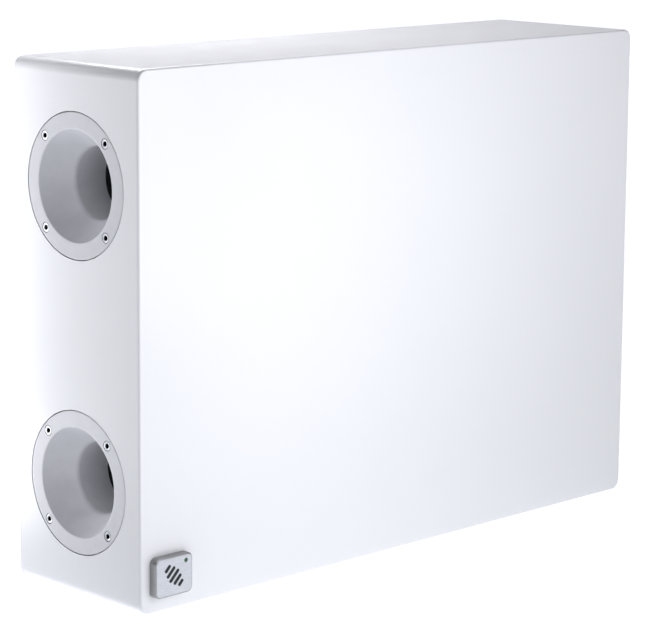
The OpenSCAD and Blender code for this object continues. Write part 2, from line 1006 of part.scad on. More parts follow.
module rca_jacks() {
  color("gold")
    on_amp_side()
      at_jacks() {
        difference() {
          union() {
            translate([0, 0, amp_floor]) cylinder(r = 6.4, h = 1.5, $fn = 6);
            cyl(jack_r, amp_floor, amp_floor + 9.5);
          }
          cyl(1.7, amp_floor + 2, 0);
        }
        cyl(3.9, amp_back - over, amp_floor + 0.5);
        block(12, 13, amp_back - 10, amp_back);
      }
}

// The speaker lead with a branch to each woofer, and the lamp's lead. Small
// blocks join the runs.
module wiring_loom() {
  lead_r = 2;
  wire_r = 1.2;
  lamp_r = 0.8;
  rise_x = bulkhead_x + bulkhead_t / 2 + 14;
  color("firebrick") {
    along_x(woofer_a_x, half_w + board_w, loom_z, lead_r);
    for (x = woofer_places) {
      splice(x, loom_z, 16, 8);
      for (side = [-5, 5])
        along_y(x + side, loom_y + 3, back_y + landing_w - 2.5, loom_z, wire_r);
    }
    splice(rise_x, loom_z, 8, 8);
    splice(rise_x, led_z, 3, 3);
    splice(led_x, led_z, 3, 3);
    along_y(led_x, front_y + 6, loom_y - 1, led_z, lamp_r);
    along_x(led_x + 1, rise_x - 1, led_z, lamp_r);
    translate([rise_x, loom_y, led_z + 1]) cylinder(r = lamp_r, h = loom_z - led_z - 4);
  }
}

module splice(x, z, length, thick) {
  translate([x - length / 2, loom_y - thick / 2, z - thick / 2]) cube([length, thick, thick]);
}

module along_x(low, high, z, r) {
  translate([low, loom_y, z]) rotate([0, 90, 0]) cylinder(r = r, h = high - low);
}

module along_y(x, low, high, z, r) {
  translate([x, low, z]) rotate([-90, 0, 0]) cylinder(r = r, h = high - low);
}

front_panel();
top_panel();
bottom_panel();
port_panel();
amp_panel();
rear_baffle();
cabinet_brace();
amp_bulkhead();
damping_wadding();
bottom_pads();
standoff_feet();
standoff_screws();
wall_inserts();
port_flare(port_heights[1]);  // port_flare_upper
port_flare(port_heights[0]);  // port_flare_lower
port_tube(port_heights[1]);  // port_tube_upper
port_tube(port_heights[0]);  // port_tube_lower
port_gaskets();
port_screws();
badge_plate();
badge_face();
badge_mark();
led_lens();
woofer_basket(woofer_a_x);  // woofer_a_basket
woofer_surround(woofer_a_x);  // woofer_a_surround
woofer_cone(woofer_a_x);  // woofer_a_cone
woofer_dust_cap(woofer_a_x);  // woofer_a_dust_cap
woofer_voice_coil(woofer_a_x);  // woofer_a_voice_coil
woofer_spider(woofer_a_x);  // woofer_a_spider
woofer_magnet(woofer_a_x);  // woofer_a_magnet
woofer_yoke(woofer_a_x);  // woofer_a_yoke
woofer_basket(woofer_b_x);  // woofer_b_basket
woofer_surround(woofer_b_x);  // woofer_b_surround
woofer_cone(woofer_b_x);  // woofer_b_cone
woofer_dust_cap(woofer_b_x);  // woofer_b_dust_cap
woofer_voice_coil(woofer_b_x);  // woofer_b_voice_coil
woofer_spider(woofer_b_x);  // woofer_b_spider
woofer_magnet(woofer_b_x);  // woofer_b_magnet
woofer_yoke(woofer_b_x);  // woofer_b_yoke
woofer_top_plates();
woofer_gaskets();
woofer_terminals();
woofer_screws();
amp_plate();
heat_sink();
amp_gasket();
amp_board();
power_transformer();
amp_capacitors();
control_bodies();
knob(-knob_y);  // volume_knob
knob(knob_y);  // crossover_knob
slide_tip(-switch_y, 5);  // phase_switch
slide_tip(switch_y, 6);  // power_mode_switch
mains_rocker();
mains_inlet();
fuse_drawer();
rca_jacks();
amp_screws();
wiring_loom();
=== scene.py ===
import json
import math

import bmesh
import bpy
import numpy as np
from mathutils import Matrix, Vector


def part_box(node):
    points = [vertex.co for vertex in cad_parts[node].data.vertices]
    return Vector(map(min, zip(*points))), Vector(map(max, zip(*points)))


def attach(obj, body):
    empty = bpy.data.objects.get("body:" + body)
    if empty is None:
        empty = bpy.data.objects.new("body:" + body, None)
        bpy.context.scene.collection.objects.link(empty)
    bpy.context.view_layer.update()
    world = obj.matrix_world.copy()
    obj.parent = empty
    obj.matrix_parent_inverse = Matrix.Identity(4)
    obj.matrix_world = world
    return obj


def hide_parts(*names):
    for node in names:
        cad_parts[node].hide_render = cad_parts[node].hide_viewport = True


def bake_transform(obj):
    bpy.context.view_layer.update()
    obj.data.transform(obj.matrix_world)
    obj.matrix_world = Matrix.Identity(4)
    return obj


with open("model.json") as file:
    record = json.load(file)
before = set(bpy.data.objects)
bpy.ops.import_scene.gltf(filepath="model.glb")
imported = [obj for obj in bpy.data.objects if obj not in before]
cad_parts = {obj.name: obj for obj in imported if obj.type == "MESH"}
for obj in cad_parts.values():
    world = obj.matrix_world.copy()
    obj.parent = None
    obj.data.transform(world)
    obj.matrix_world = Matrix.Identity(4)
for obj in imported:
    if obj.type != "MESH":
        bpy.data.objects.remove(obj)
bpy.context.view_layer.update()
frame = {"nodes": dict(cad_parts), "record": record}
scene = bpy.context.scene
nodes = frame["nodes"]
MM = 0.001

# ---------------------------------------------------------------- placement
# A face of the cabinet has its own axes: u to the right as seen from outside,
# v up and w out of the face, in millimetres.

AXES = {
    "front": ((1, 0, 0), (0, 0, 1), (0, -1, 0)),
    "rear": ((-1, 0, 0), (0, 0, 1), (0, 1, 0)),
    "port_side": ((0, -1, 0), (0, 0, 1), (-1, 0, 0)),
    "amp_side": ((0, 1, 0), (0, 0, 1), (1, 0, 0)),
    "under": ((1, 0, 0), (0, -1, 0), (0, 0, -1)),
}


def centre(node):
    low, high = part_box(node)
    return (low + high) / 2


FRONT_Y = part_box("front_panel")[0].y
REAR_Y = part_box("rear_baffle")[1].y
PORT_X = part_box("port_panel")[0].x
AMP_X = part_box("amp_panel")[1].x
UNDER_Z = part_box("bottom_panel")[0].z


def place(face, x=0.0, y=0.0, z=0.0):
    """The matrix of a spot on a face, given in the frame; w is 0 on the face."""
    spot = {
        "front": (x, FRONT_Y, z),
        "rear": (x, REAR_Y, z),
        "port_side": (PORT_X, y, z),
        "amp_side": (AMP_X, y, z),
        "under": (x, y, UNDER_Z),
    }[face]
    u, v, w = (Vector(a) for a in AXES[face])
    basis = Matrix((u, v, w)).transposed().to_4x4()
    return Matrix.Translation(spot) @ basis @ Matrix.Scale(MM, 4)


# ---------------------------------------------------------------- outlines
# An outline is a closed list of (u, v, w) points at one height.

# Sides of round shapes, by size, and the angles in degrees from which an edge is crisp.
TINY_SIDES = 48
SMALL_SIDES = 64
SIDES = 96
WIDE_SIDES = 128
LARGE_SIDES = 192
CORNER_STEPS = 10
FLAT_ANGLE = 30
SHARP_ANGLE = 32
ROUND_ANGLE = 40
SOFT_ANGLE = 60


def circle(r, w, n=SIDES):
    turn = 2 * math.pi / n
    return [(r * math.cos(i * turn), r * math.sin(i * turn), w) for i in range(n)]


def hexagon(r, w, n=SIDES):
    """A hexagon of corner radius r with n points, so that it joins a circle."""
    flat = r * math.cos(math.pi / 6)
    points = []
    for i in range(n):
        a = 2 * math.pi * i / n
        off = (a % (math.pi / 3)) - math.pi / 6
        d = flat / math.cos(off)
        points.append((d * math.cos(a), d * math.sin(a), w))
    return points


def rounded(width, height, r, w, corner=CORNER_STEPS, du=0.0, dv=0.0):
    """A rectangle with round corners of radius r, moved by (du, dv)."""
    points = []
    for k, (sx, sy) in enumerate(((1, 1), (-1, 1), (-1, -1), (1, -1))):
        cx, cy = sx * (width / 2 - r), sy * (height / 2 - r)
        for i in range(corner + 1):
            a = math.pi / 2 * (k + i / corner)
            points.append((du + cx + r * math.cos(a), dv + cy + r * math.sin(a), w))
    return points


def arc(cr, cw, radius, start, end, steps):
    """Points (r, w) of a section along an arc about (cr, cw), angles in degrees."""
    points = []
    for i in range(steps + 1):
        a = math.radians(start + (end - start) * i / steps)
        points.append((cr + radius * math.cos(a), cw + radius * math.sin(a)))
    return points


class Piece:
    """Gathers shapes into one mesh, then puts it on a body with its material."""

    def __init__(self, name):
        self.name = name
        self.bm = bmesh.new()

    def stack(self, at, outlines, ring=False, mat=0):
        """Joins outlines of equal length, with caps, or as a closed ring section."""
        rows = [[self.bm.verts.new(at @ Vector(p)) for p in o] for o in outlines]
        n = len(rows[0])
        pairs = list(zip(rows, rows[1:]))
        if ring:
            pairs.append((rows[-1], rows[0]))
        made = []
        for a, b in pairs:
            for i in range(n):
                j = (i + 1) % n
                made.append(self.bm.faces.new((a[i], a[j], b[j], b[i])))
        if not ring:
            for row, outline in ((rows[0], outlines[0]), (rows[-1], outlines[-1])):
                mid = Vector([sum(p[k] for p in outline) / n for k in range(3)])
                tip = self.bm.verts.new(at @ mid)
                for i in range(n):
                    made.append(self.bm.faces.new((row[i], row[(i + 1) % n], tip)))
        for f in made:
            f.material_index = mat
        bmesh.ops.recalc_face_normals(self.bm, faces=made)
        return made

    def lathe(self, at, section, n=SIDES, ring=True, mat=0):
        """Turns a section of (r, w) points; a ring section doesn't touch the axis."""
        return self.stack(at, [circle(r, w, n) for r, w in section], ring, mat)

    def mesh(self):
        data = bpy.data.meshes.new(self.name)
        self.bm.to_mesh(data)
        self.bm.free()
        return data

    def make(self, materials, body=None, stands_for=(), angle=SHARP_ANGLE, cutters=()):
        """Makes the object, less its cutters; edges sharper than angle stay crisp."""
        data = self.mesh()
        obj = bpy.data.objects.new(self.name, data)
        scene.collection.objects.link(obj)
        for m in materials:
            data.materials.append(m)
        for cutter in cutters:
            cut(obj, cutter)
        shade(obj.data, angle)
        if body:
            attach(obj, body)
        if stands_for:
            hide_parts(*stands_for)
        return obj


def shade(data, angle):
    """Smooth shading, except at edges sharper than angle."""
    data.polygons.foreach_set("use_smooth", [True] * len(data.polygons))
    data.set_sharp_from_angle(angle=math.radians(angle))


def cut(obj, cutter):
    """Takes the cutter piece away from obj."""
    tool = bpy.data.objects.new(cutter.name, cutter.mesh())
    scene.collection.objects.link(tool)
    mod = obj.modifiers.new("cut", "BOOLEAN")
    mod.operation = "DIFFERENCE"
    mod.solver = "EXACT"
    mod.object = tool
    bpy.context.view_layer.update()
    shaped = obj.evaluated_get(bpy.context.evaluated_depsgraph_get())
    data = bpy.data.meshes.new_from_object(shaped)
    obj.modifiers.clear()
    obj.data = data
    bpy.data.objects.remove(tool)


# ---------------------------------------------------------------- materials

mats = {}
PLASTIC_IOR = 1.5


class Paint:
    """Builds one procedural material, from noise in the piece's own space, into mats."""

    def __init__(self, name, rough, metal=0.0, **fixed):
        self.m = bpy.data.materials.new(name)
        mats[name] = self.m
        self.m.use_nodes = True
        self.tree = self.m.node_tree
        self.shader = self.tree.nodes["Principled BSDF"]
        self.coords = self.add("ShaderNodeTexCoord").outputs["Object"]
        self.set(Roughness=rough, Metallic=metal, IOR=PLASTIC_IOR, **fixed)

    def add(self, kind):
        return self.tree.nodes.new(kind)

    def set(self, **values):
        for key, value in values.items():
            self.shader.inputs[key.replace("_", " ")].default_value = value

    def link(self, a, b):
        self.tree.links.new(a, b)

    def mapped(self, scale=(1, 1, 1), turn=(0, 0, 0)):
        node = self.add("ShaderNodeMapping")
        node.inputs["Scale"].default_value = scale
        node.inputs["Rotation"].default_value = [math.radians(t) for t in turn]
        self.link(self.coords, node.inputs["Vector"])
        return node.outputs["Vector"]

    def noise(self, scale, detail=3.0, rough=0.55, vector=None):
        node = self.add("ShaderNodeTexNoise")
        node.inputs["Scale"].default_value = scale
        node.inputs["Detail"].default_value = detail
        node.inputs["Roughness"].default_value = rough
        self.link(vector or self.coords, node.inputs["Vector"])
        return node.outputs["Fac"]

    def cells(self, scale):
        node = self.add("ShaderNodeTexVoronoi")
        node.inputs["Scale"].default_value = scale
        self.link(self.coords, node.inputs["Vector"])
        return node.outputs["Distance"]

    def waves(self, scale, direction, distortion=0.0):
        node = self.add("ShaderNodeTexWave")
        node.bands_direction = direction
        node.inputs["Scale"].default_value = scale
        node.inputs["Distortion"].default_value = distortion
        self.link(self.coords, node.inputs["Vector"])
        return node.outputs["Fac"]

    def maths(self, operation, a, b):
        """Joins two values with one operation; b may be a plain number."""
        node = self.add("ShaderNodeMath")
        node.operation = operation
        self.link(a, node.inputs[0])
        if isinstance(b, float):
            node.inputs[1].default_value = b
        else:
            self.link(b, node.inputs[1])
        return node

    def span(self, value, low, high, start=0.3, end=0.7):
        """Spreads value, from start to end, over low to high."""
        node = self.add("ShaderNodeMapRange")
        node.inputs["From Min"].default_value = start
        node.inputs["From Max"].default_value = end
        node.inputs["To Min"].default_value = low
        node.inputs["To Max"].default_value = high
        self.link(value, node.inputs["Value"])
        return node.outputs["Result"]

    def colour(self, value, first, second, start=0.3, end=0.7):
        """Base colour from first, where value is start, to second, where it is end."""
        ramp = self.add("ShaderNodeValToRGB")
        a, b = ramp.color_ramp.elements
        a.position, b.position = start, end
        a.color, b.color = (*first, 1), (*second, 1)
        self.link(value, ramp.inputs["Fac"])
        self.link(ramp.outputs["Color"], self.shader.inputs["Base Color"])

    def roughness(self, value, low, high):
        self.link(self.span(value, low, high), self.shader.inputs["Roughness"])

    def bump(self, value, depth):
        """depth is the height of the relief in millimetres."""
        node = self.add("ShaderNodeBump")
        node.inputs["Strength"].default_value = 1.0
        node.inputs["Distance"].default_value = depth * MM
        self.link(value, node.inputs["Height"])
        self.link(node.outputs["Normal"], self.shader.inputs["Normal"])


def grey(v):
    return (v, v, v)


WHITE_LOW = (0.785, 0.787, 0.795)
WHITE_HIGH = (0.8, 0.802, 0.808)


def lacquer():
    p = Paint("white_lacquer", 0.34, Coat_Weight=0.25, Coat_Roughness=0.2)
    p.colour(p.noise(5, 2), WHITE_LOW, WHITE_HIGH)
    p.roughness(p.noise(40), 0.31, 0.37)
    p.bump(p.noise(650, 2.0), 0.004)


def fibre_board():
    p = Paint("raw_board", 0.85)
    p.colour(p.noise(900, 4), (0.28, 0.17, 0.09), (0.42, 0.28, 0.16))
    p.bump(p.noise(1400, 3), 0.05)


def woolly():
    p = Paint("wadding", 0.95, Sheen_Weight=0.4, Sheen_Roughness=0.6)
    v = p.mapped((1, 3, 1), (20, 0, 35))
    p.colour(p.noise(420, 6, 0.7, v), (0.6, 0.6, 0.58), (0.86, 0.86, 0.84))
    p.bump(p.noise(300, 6, 0.75, v), 0.8)


def cone_paper():
    p = Paint("cone_paper", 0.7, Sheen_Weight=0.1)
    p.colour(p.noise(160, 5, 0.7), (0.018, 0.018, 0.02), (0.045, 0.045, 0.048))
    p.bump(p.noise(700, 5, 0.7), 0.12)


def cloth():
    """A plain weave: two crossing sets of threads."""
    p = Paint("spider_cloth", 0.85, Sheen_Weight=0.3)
    warp = p.waves(900, "X")
    weft = p.waves(900, "Z")
    both = p.maths("MULTIPLY", warp, weft).outputs[0]
    p.colour(both, (0.42, 0.3, 0.1), (0.66, 0.5, 0.22), 0.1, 0.8)
    p.bump(both, 0.15)


def board():
    p = Paint("circuit_board", 0.4, Coat_Weight=0.4)
    tracks = p.cells(330)
    p.colour(tracks, (0.01, 0.09, 0.03), (0.02, 0.17, 0.06), 0.15, 0.5)
    p.bump(tracks, 0.05)


def lamp_green():
    p = Paint("led_green", 0.15, Coat_Weight=0.6, Emission_Strength=0.03)
    p.shader.inputs["Emission Color"].default_value = (0.1, 0.75, 0.25, 1)
    p.colour(p.cells(900), (0.02, 0.1, 0.05), (0.035, 0.16, 0.08))
    p.bump(p.noise(700, 2), 0.01)


def plain(name, dark, light, rough, patch, grain, relief, metal=0.0):
    """Moulded or turned stuff: patches of colour and gloss over a fine grain."""
    p = Paint(name, rough, metal)
    p.colour(p.noise(patch), dark, light)
    p.roughness(p.noise(patch * 3), rough - 0.04, rough + 0.05)
    p.bump(p.noise(grain, 2.0), relief)


def port_plastic(name, dark, light, rough):
    p = Paint(name, rough)
    p.colour(p.noise(90, 3), dark, light)
    p.roughness(p.noise(200, 3), rough - 0.03, rough + 0.04)
    p.bump(p.noise(1500, 2), 0.006)


def powder(name, dark, light, rough, grain, relief):
    """Textured powder coat or moulded texture."""
    p = Paint(name, rough)
    p.colour(p.noise(grain * 0.6, 4, 0.6), dark, light)
    p.roughness(p.noise(grain, 2), rough - 0.05, rough + 0.1)
    p.bump(p.noise(grain, 3, 0.6), relief)


def metal(name, dark, light, rough):
    p = Paint(name, rough, 1.0)
    p.colour(p.noise(120, 3), dark, light)
    p.roughness(p.noise(260, 3), rough - 0.06, rough + 0.08)
    p.bump(p.noise(1500, 2), 0.004)


def brushed(name, dark, light, rough, stretch, turn):
    """Metal with fine streaks: noise that is squeezed along one axis, then turned."""
    p = Paint(name, rough, 1.0)
    v = p.mapped(stretch, turn)
    streak = p.noise(600, 4.0, 0.7, v)
    broad = p.noise(130, 3.0, 0.6, v)
    mix = p.maths("MULTIPLY_ADD", streak, 0.55)
    p.link(p.span(broad, 0.0, 0.45, 0.0, 1.0), mix.inputs[2])
    p.colour(mix.outputs[0], dark, light)
    p.roughness(streak, rough - 0.07, rough + 0.1)
    p.bump(streak, 0.006)


def wound(name, first, second, scale, direction):
    """Turns of wire that lie side by side."""
    p = Paint(name, 0.35, 1.0)
    turns = p.waves(scale, direction, 0.15)
    p.colour(turns, first, second, 0.1, 0.7)
    p.bump(turns, 0.2)


lacquer()
fibre_board()
woolly()
cone_paper()
cloth()
board()
lamp_green()

# Name, dark and light colour, roughness.
port_plastic("port_grey", (0.56, 0.56, 0.575), (0.585, 0.585, 0.6), 0.42)
# The bowl is the same grey moulding as the flange, coloured lighter: painted light against the
# shade inside the bowl.
port_plastic("port_bowl_painted_light", (0.6, 0.6, 0.625), (0.63, 0.63, 0.655), 0.4)
metal("zinc_steel", (0.4, 0.41, 0.43), (0.54, 0.55, 0.56), 0.34)
metal("black_steel", (0.03, 0.03, 0.033), (0.07, 0.07, 0.074), 0.42)
# The near-black for the cap screws' sockets is painted shade in the recess; each screw is one
# metal.
metal("socket_painted_shade", grey(0.008), grey(0.016), 0.6)
metal("brass_bush", (0.62, 0.44, 0.16), (0.8, 0.6, 0.26), 0.28)
metal("plated_steel", (0.42, 0.43, 0.42), (0.66, 0.66, 0.62), 0.36)
metal("jack_gold", (0.75, 0.55, 0.2), (0.92, 0.73, 0.35), 0.2)

# The same, then the grain's scale and its relief in millimetres.
powder("black_rubber", (0.014, 0.014, 0.015), (0.03, 0.03, 0.031), 0.75, 700, 0.05)
powder("tube_black", grey(0.012), grey(0.024), 0.55, 500, 0.04)
powder("foam", grey(0.02), grey(0.05), 0.95, 1300, 0.3)
powder("frame_black", grey(0.012), grey(0.03), 0.5, 900, 0.06)
powder("ferrite", grey(0.03), grey(0.055), 0.6, 500, 0.08)
powder("panel_black", grey(0.012), grey(0.026), 0.46, 1000, 0.05)
powder("control_grey", grey(0.07), grey(0.11), 0.5, 800, 0.03)
powder("inlet_black", grey(0.012), grey(0.024), 0.48, 1100, 0.03)

# The same, with the patches' scale before the grain's.
plain("badge_grey", grey(0.3), grey(0.35), 0.34, 80, 1200, 0.004, 0.7)
plain("badge_black", grey(0.004), grey(0.008), 0.6, 200, 1500, 0.003)
plain("surround_rubber", grey(0.012), grey(0.02), 0.4, 50, 1100, 0.006)
plain("cap_plastic", grey(0.015), grey(0.026), 0.3, 70, 1200, 0.004)
plain("capacitor", (0.01, 0.015, 0.05), (0.02, 0.03, 0.09), 0.3, 90, 800, 0.01)
plain("knob_black", grey(0.012), grey(0.022), 0.38, 90, 1500, 0.006)
plain("slider_white", grey(0.68), grey(0.76), 0.35, 120, 1300, 0.004)
plain("rocker_black", grey(0.012), grey(0.02), 0.3, 90, 1300, 0.004)
plain("cable_red", (0.35, 0.02, 0.02), (0.5, 0.04, 0.03), 0.45, 90, 600, 0.02)
plain("print_white", grey(0.6), grey(0.7), 0.6, 300, 1500, 0.003)
plain("ring_red", (0.4, 0.015, 0.015), (0.52, 0.03, 0.025), 0.35, 120, 1300, 0.004)

# Name, dark and light colour, roughness, the noise's stretch and its turn in degrees.
brushed("badge_aluminium", (0.36, 0.37, 0.39), (0.66, 0.67, 0.69), 0.3, (1, 1, 26), (0, 45, 0))
brushed("sink_black", grey(0.02), grey(0.05), 0.42, (1, 1, 0.06), (0, 0, 0))

# Name, colour in the gaps and on the wire, turns' scale and axis.
wound("coil_copper", (0.35, 0.12, 0.04), (0.85, 0.42, 0.2), 700, "Y")
wound("winding", (0.3, 0.12, 0.03), (0.8, 0.42, 0.14), 260, "Z")

# Every CAD node starts with the material of its slot in the record.
for row in frame["record"]["subparts"]:
    data = nodes[row["node"]].data
    data.materials.clear()
    data.materials.append(mats[row["material_slot"]])

# ---------------------------------------------------------------- ports

THROAT_R = 30.5
THROAT_LEN = 58
THROAT_RINGS = (30, 36, 42, 48, 53, THROAT_LEN)
MOUTH_R = 47
BOWL_R = 48.7
BOWL_BACK = 26
SOFT_R = 6
WALL = 2.5
FLANGE_R = 61
FLANGE_T = 5
FLANGE_EDGE = 0.7
FLANGE_RINGS = (59, 56.5, 54, 51.5, 49)
TUBE_R = THROAT_R + WALL
SOCKET_LEN = 12
SOCKET_GAP = 0.05
COLLAR_LEN = 4
COLLAR_STEP = 0.5
PORT_SCREWS = 4
PORT_SCREW_START = 45
PORT_SCREW_CIRCLE = 54.4
PORT_HEAD = (4.15, 3.2)
PORT_HOLE_R = 4.5
PORT_SHANK_HOLE_R = 2.6
PORT_HOLE_DEPTH = 8
PORT_SEAT = -3.3
PORT_SHANK = (2.4, 11)
PORT_SCREW_TURNS = (17, 41, 8, 29)


def spin(angle):
    return Matrix.Rotation(math.radians(angle), 4, "Z")


def spaced(k, count, start, r):
    """Number k of count places on a circle of radius r, from the angle start."""
    return spin(start + 360 / count * k) @ Matrix.Translation((r, 0, 0))


def port_section():
    """The port's closed section, from the mouth in along the bowl and back outside."""
    bowl_w = math.sqrt(BOWL_R**2 - MOUTH_R**2)
    soft_r = THROAT_R + SOFT_R
    soft_w = bowl_w - math.sqrt((BOWL_R + SOFT_R) ** 2 - soft_r**2)
    start = math.degrees(math.atan2(-bowl_w, MOUTH_R))
    meet = math.degrees(math.atan2(soft_w - bowl_w, soft_r))
    inner = [(MOUTH_R + 0.35, 0), (MOUTH_R + 0.1, -0.08)]
    inner += arc(0, bowl_w, BOWL_R, start - 0.4, meet, 40)
    inner += arc(soft_r, soft_w, SOFT_R, meet + 180, 180, 12)[1:]
    inner += [(THROAT_R, -w) for w in THROAT_RINGS]
    outer_r = BOWL_R + WALL
    back_start = -math.degrees(math.asin((BOWL_BACK + bowl_w) / outer_r))
    back_end = -math.degrees(math.asin((FLANGE_T + bowl_w) / outer_r))
    socket = THROAT_LEN + SOCKET_LEN
    collar = THROAT_LEN - COLLAR_LEN
    socket_r = TUBE_R + SOCKET_GAP
    outer = [(socket_r, -THROAT_LEN), (socket_r, -socket), (TUBE_R + WALL, -socket)]
    outer += [(TUBE_R + WALL, -collar), (TUBE_R + COLLAR_STEP, -collar)]
    outer += arc(0, bowl_w, outer_r, back_start, back_end, 14)
    outer += [(FLANGE_R, -FLANGE_T)]
    outer += arc(FLANGE_R - FLANGE_EDGE, -FLANGE_EDGE, FLANGE_EDGE, 0, 90, 6)
    face = [(r, 0) for r in FLANGE_RINGS]
    return inner + outer + face


def in_bowl(point):
    return math.hypot(point.x, point.y) < MOUTH_R + 0.2 and point.z < -0.02


def port_flare(name, z):
    y = centre("port_flare_" + name).y
    at = place("port_side", y=y, z=z)
    flare = Piece(f"port_{name}_trim")
    faces = flare.lathe(at, port_section(), LARGE_SIDES)
    # Faces inside the bowl take the lighter grey, painted light against the bowl's shade.
    inside = at.inverted()
    for f in faces:
        if in_bowl(inside @ f.calc_center_median()):
            f.material_index = 1
    # The counterbores are cut with the third material, black: painted shade in the gap round each
    # screw head.
    holes = Piece("holes")
    section = [(PORT_HOLE_R, 1), (PORT_HOLE_R, PORT_SEAT)]
    section += [(PORT_SHANK_HOLE_R, PORT_SEAT), (PORT_SHANK_HOLE_R, -PORT_HOLE_DEPTH)]
    for k in range(PORT_SCREWS):
        spot = at @ spaced(k, PORT_SCREWS, PORT_SCREW_START, PORT_SCREW_CIRCLE)
        holes.lathe(spot, section, TINY_SIDES, False, 2)
    surfaces = [mats["port_grey"], mats["port_bowl_painted_light"], mats["tube_black"]]
    shown = ["port_flare_" + name]
    return flare.make(surfaces, "cabinet", shown, ROUND_ANGLE, [holes])


def socket_screw(piece, at, head, seat, shank, edge=0.45):
    """A cap screw: a bevelled round head with a hexagon socket and a pointed shank.

    head is its radius and height, and shank its radius and length, from the seat.
    """
    head_r, head_h = head
    shank_r, shank_len = shank
    top = seat + head_h
    hex_r = head_r * 0.56
    n = TINY_SIDES
    rows = [circle(shank_r * 0.6, seat - shank_len, n)]
    rows += [circle(shank_r, seat - shank_len + shank_r * 0.4, n), circle(shank_r, seat, n)]
    rows += [circle(head_r - 0.1, seat, n), circle(head_r, seat + 0.1, n)]
    rows += [circle(head_r, top - edge, n)]
    for a in (math.pi / 6, math.pi / 3, math.pi / 2):
        rows += [circle(head_r - edge + edge * math.cos(a), top - edge + edge * math.sin(a), n)]
    rows += [circle(hex_r + 0.35, top, n), hexagon(hex_r, top - 0.3, n)]
    rows += [hexagon(hex_r, seat + head_h * 0.3, n)]
    rows += [circle(hex_r * 0.3, seat + head_h * 0.18, n)]
    faces = piece.stack(at, rows)
    # The socket's walls and floor take the second material: near-black painted shade in the
    # recess.
    walls = (len(rows) - 3) * n
    for f in faces[walls:walls + 2 * n] + faces[-n:]:
        f.material_index = 1


def ports():
    heights = {name: centre("port_flare_" + name).z for name in ("upper", "lower")}
    screws = Piece("port_cap_screws")
    y = centre("port_screws").y
    trims = {}
    for name, z in heights.items():
        trims[name] = port_flare(name, z)
        at = place("port_side", y=y, z=z)
        for k, own in enumerate(PORT_SCREW_TURNS):
            spot = at @ spaced(k, PORT_SCREWS, PORT_SCREW_START, PORT_SCREW_CIRCLE) @ spin(own)
            socket_screw(screws, spot, PORT_HEAD, PORT_SEAT, PORT_SHANK)
    surfaces = [mats["zinc_steel"], mats["socket_painted_shade"]]
    screws.make(surfaces, "cabinet", ["port_screws"])
    return trims


port_trims = ports()

# ---------------------------------------------------------------- badge

BADGE_CORNER_R = 5.2
BADGE_RIM = 1.2
BADGE_MARK_T = 0.15
LED_HOLE_R = 1.92
LED_R = 1.88
LED_LEAD_R = 1.3
LED_LEAD_LEN = 6
LED_DOME_R = 1.35


def badge():
    """A rounded plate with a raised rim, a brushed face inside it and a small lamp."""
    low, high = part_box("badge_plate")
    wide, tall = (high.x - low.x) / MM, (high.z - low.z) / MM
    at = place("front", x=(low.x + high.x) / 2, z=(low.z + high.z) / 2)
    t = (FRONT_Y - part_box("badge_mark")[0].y) / MM
    face_w = t - BADGE_MARK_T
    rim_r = BADGE_CORNER_R - 1.1
    led = centre("led_lens")
    led_at = place("front", x=led.x, z=led.z)

    def outline(inset, r, w):
        return rounded(wide - 2 * inset, tall - 2 * inset, r, w)

    def led_hole():
        hole = Piece("hole")
        hole.lathe(led_at, [(LED_HOLE_R, -1), (LED_HOLE_R, t + 1)], SMALL_SIDES, False)
        return hole

    plate = Piece("badge_body")
    rows = [outline(0.2, 5.0, 0), outline(0, BADGE_CORNER_R, 0.2)]
    rows += [outline(0, BADGE_CORNER_R, t - 1.15), outline(0.12, 5.1, t - 0.85)]
    rows += [outline(0.85, 4.5, t - 0.38), outline(1.0, 4.3, t - 0.3)]
    rows += [outline(1.15, 4.15, t - 0.34), outline(BADGE_RIM, rim_r, t - 0.95)]
    plate.stack(at, rows)
    coat = [mats["badge_grey"]]
    plate.make(coat, "cabinet", ["badge_plate"], FLAT_ANGLE, [led_hole()])

    face = Piece("badge_front")
    rows = [outline(BADGE_RIM, rim_r, face_w - 0.75), outline(BADGE_RIM, rim_r, face_w - 0.12)]
    rows += [outline(BADGE_RIM + 0.11, rim_r - 0.1, face_w)]
    face.stack(at, rows)
    metal_face = [mats["badge_aluminium"]]
    face.make(metal_face, "cabinet", ["badge_face"], FLAT_ANGLE, [led_hole()])

    lens = Piece("led_dome")
    section = [(LED_LEAD_R, -LED_LEAD_LEN), (LED_LEAD_R, 0.3), (LED_R, 0.4)]
    section += [(LED_R, t - 1.35), (LED_DOME_R, t - 1.3)]
    section += arc(0, t - 0.25 - LED_DOME_R, LED_DOME_R, 12, 84, 8)
    lens.lathe(led_at, section, TINY_SIDES, False)
    lens.make([mats["led_green"]], "cabinet", ["led_lens"], ROUND_ANGLE)


badge()

# ---------------------------------------------------------------- woofers

# Heights are measured outward from the face of the rear baffle.
CONE_R = 78
CONE_NECK = (20.2, -30.5)
CONE_T = 1.3
CONE_BELLY = 0.7
CONE_STEPS = 60
CONE_RINGS = (66, 57, 48, 39)
CONE_RING_H = 0.28
CONE_RING_W = 1.1
ROLL_MID_R = 85
ROLL_R = 6
SURROUND_T = 1.0
SURROUND_W = 0.04
SPIDER_W = -42
SPIDER_T = 0.6
SPIDER_INNER_R = 20.1
SPIDER_OUTER_R = 57
SPIDER_WAVE_START = 22
SPIDER_WAVE = 9
SPIDER_WAVE_H = 1.5
SPIDER_WAVES = 3
SPIDER_STEPS = 16
CAP_R = 26
CAP_H = 9
CAP_BASE = -27.1
CAP_T = 0.8
FRAME_SCREWS = 6
FRAME_SCREW_START = 30
FRAME_SCREW_CIRCLE = 100
FRAME_SCREW_HEAD = (4, 2.6)
FRAME_SCREW_SHANK = (2.2, 14)
FRAME_SCREW_TURNS = (11, 37, 52, 5, 23, 44)


def blend_round(obj):
    """Bakes obj's place into its mesh; obj lies between the motor, inside, and the frame,
    outside.
    """
    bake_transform(obj)


